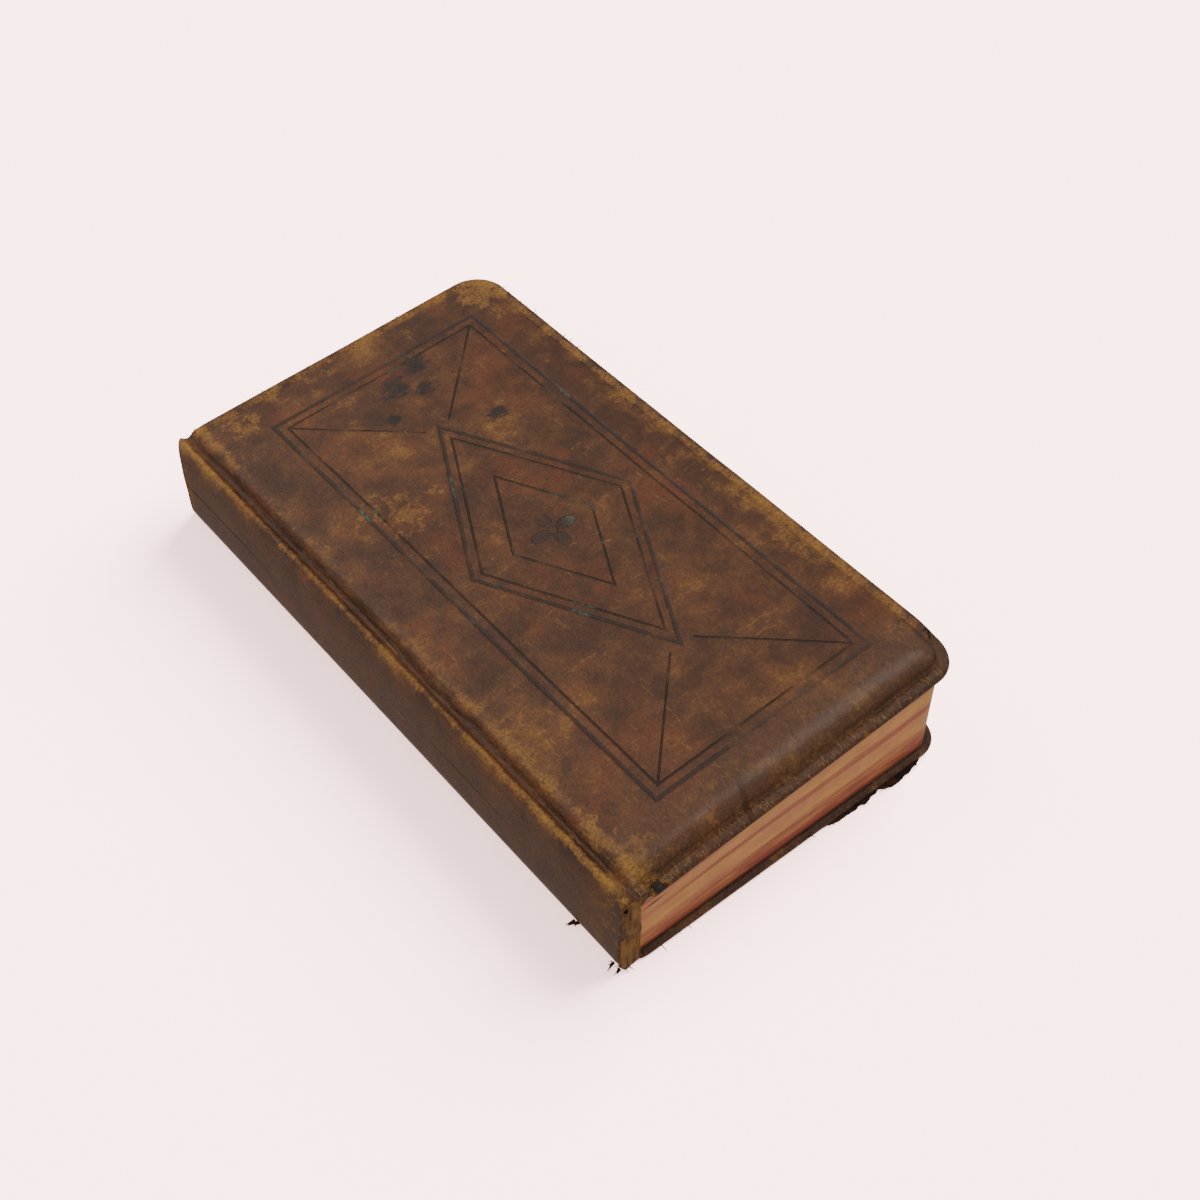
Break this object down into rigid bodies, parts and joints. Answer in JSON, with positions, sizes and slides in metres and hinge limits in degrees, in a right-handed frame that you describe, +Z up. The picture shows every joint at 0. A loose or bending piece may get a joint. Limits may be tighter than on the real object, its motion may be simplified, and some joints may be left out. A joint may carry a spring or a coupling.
{
  "type": "padded leather book",
  "caption": "Small antique book in a padded limp leather binding with blind tooling, rounded corners, coloured page edges and hinged covers.",
  "frame": {"origin": "centre of the book's footprint on the table, under its back cover", "axes": "+X from the spine to the fore edge, +Y from tail to head, +Z up through the front cover"},
  "size_m": [0.098, 0.178, 0.0324],
  "materials": {
    "leather": "worn satin",
    "pages": "coloured edges, matt",
    "endpaper": "matt",
    "board": "matt",
    "cloth": "open weave",
    "wadding": "soft"
  },
  "bodies": {
    "book_block": {"text_block": "pages", "front_flyleaf": "endpaper", "back_flyleaf": "endpaper", "sewing_tapes": "cloth", "spine_mull": "cloth", "spine_hollow": "board", "spine_inlay": "board", "spine_leather": "leather"},
    "front_cover": {"front_pastedown": "endpaper", "front_mull_flange": "cloth", "front_board": "board", "front_padding": "wadding", "front_leather": "leather"},
    "back_cover": {"back_pastedown": "endpaper", "back_mull_flange": "cloth", "back_board": "board", "back_leather": "leather"}
  },
  "joints": [
    {"name": "front_joint", "type": "hinge", "parent": "book_block", "child": "front_cover", "pos_m": [-0.0459, 0, 0.024], "axis": [0, -1, 0], "range_deg": [0, 175]},
    {"name": "back_joint", "type": "hinge", "parent": "book_block", "child": "back_cover", "pos_m": [-0.0459, 0, 0.0022], "axis": [0, 1, 0], "range_deg": [0, 175]}
  ]
}
